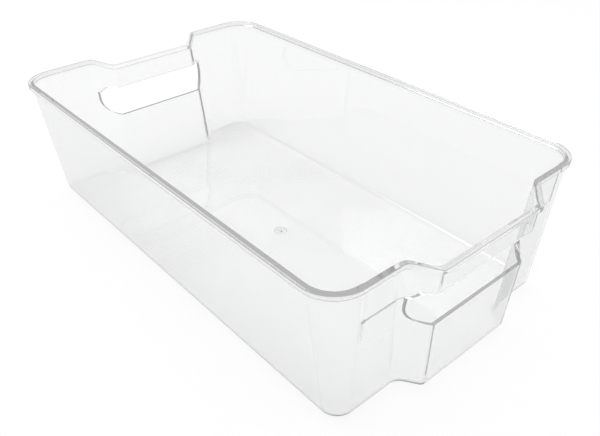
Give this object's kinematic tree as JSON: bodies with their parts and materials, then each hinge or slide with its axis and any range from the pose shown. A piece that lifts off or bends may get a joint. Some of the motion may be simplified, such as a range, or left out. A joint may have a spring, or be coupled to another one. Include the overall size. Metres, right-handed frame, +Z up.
{
  "type": "fridge organizer bin",
  "caption": "Clear moulded storage bin for a fridge shelf, with drafted walls, a lip round the rim, a bulged front end, a recessed back end and hand holes under the rim.",
  "frame": {"origin": "on the plane of the underside, midway across the bin and midway between the outermost points of its two ends", "axes": "+X across the bin, +Y from the bulged front end to the recessed back end, +Z up from the floor"},
  "size_m": [0.2196, 0.37, 0.1006],
  "materials": {
    "clear_plastic": "clear, polished, with a fine grain under the floor"
  },
  "bodies": {
    "root": {"bin": "clear_plastic"}
  },
  "joints": []
}
